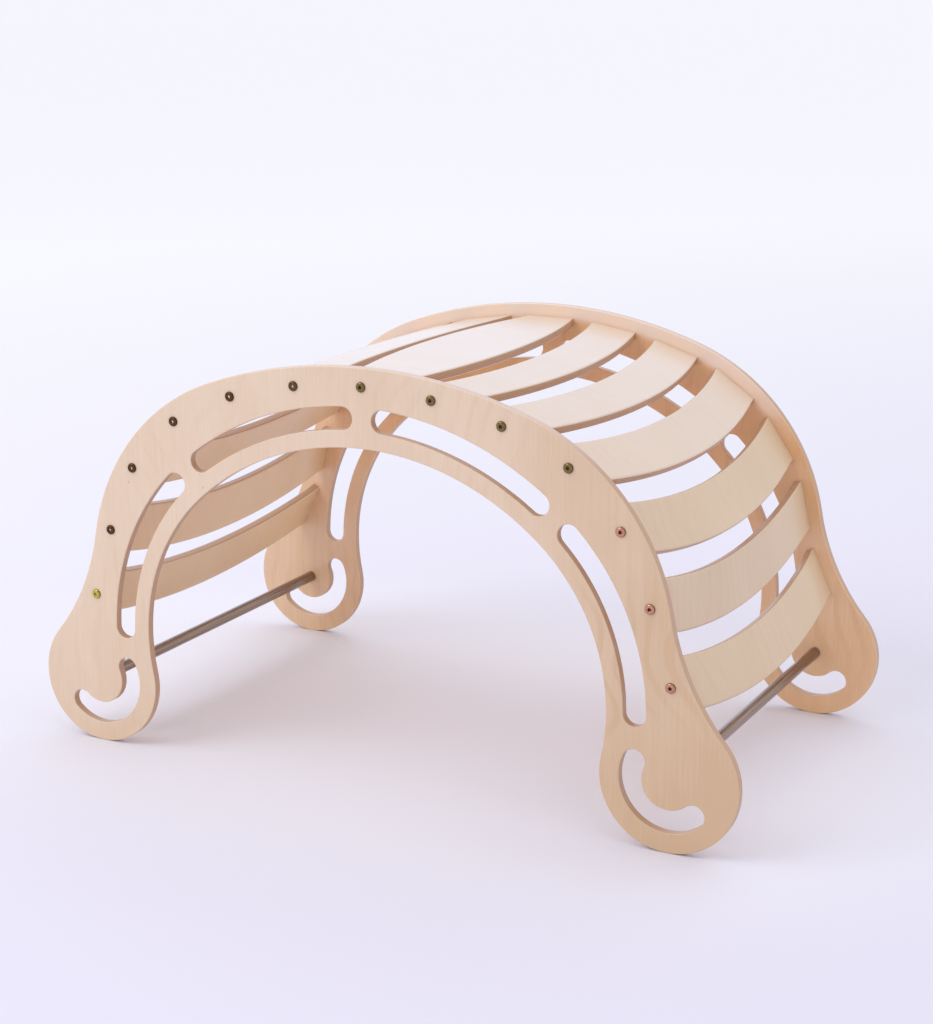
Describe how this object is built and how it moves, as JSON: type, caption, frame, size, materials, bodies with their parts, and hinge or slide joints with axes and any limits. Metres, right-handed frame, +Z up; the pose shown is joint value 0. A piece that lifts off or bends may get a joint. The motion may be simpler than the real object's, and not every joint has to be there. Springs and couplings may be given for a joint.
{
  "type": "curvy balance board",
  "caption": "Wooden rocking arch: slotted plywood side panels with round feet, curved slats between them and steel rungs at the feet; stands as a climbing arch or rocks when turned over.",
  "frame": {"origin": "on the floor under the middle of the arch", "axes": "+X along the length towards the right foot, +Y across the width from the front panel to the rear panel, +Z up"},
  "size_m": [1.012, 0.568, 0.5558],
  "materials": {
    "panel_ply": "clear satin lacquer on birch plywood",
    "slat_ply": "clear satin lacquer on birch plywood",
    "steel": "brushed stainless steel",
    "screw": "bronze-coloured plating",
    "dowel": "plain beech"
  },
  "bodies": {
    "root": {"front_panel": "panel_ply", "rear_panel": "panel_ply", "slat_01": "slat_ply", "slat_02": "slat_ply", "slat_03": "slat_ply", "slat_04": "slat_ply", "slat_05": "slat_ply", "slat_06": "slat_ply", "slat_07": "slat_ply", "slat_08": "slat_ply", "slat_09": "slat_ply", "slat_10": "slat_ply", "slat_11": "slat_ply", "slat_12": "slat_ply", "slat_13": "slat_ply", "left_rung": "steel", "right_rung": "steel", "front_screws": "screw", "rear_screws": "screw", "front_dowels": "dowel", "rear_dowels": "dowel"}
  },
  "joints": []
}
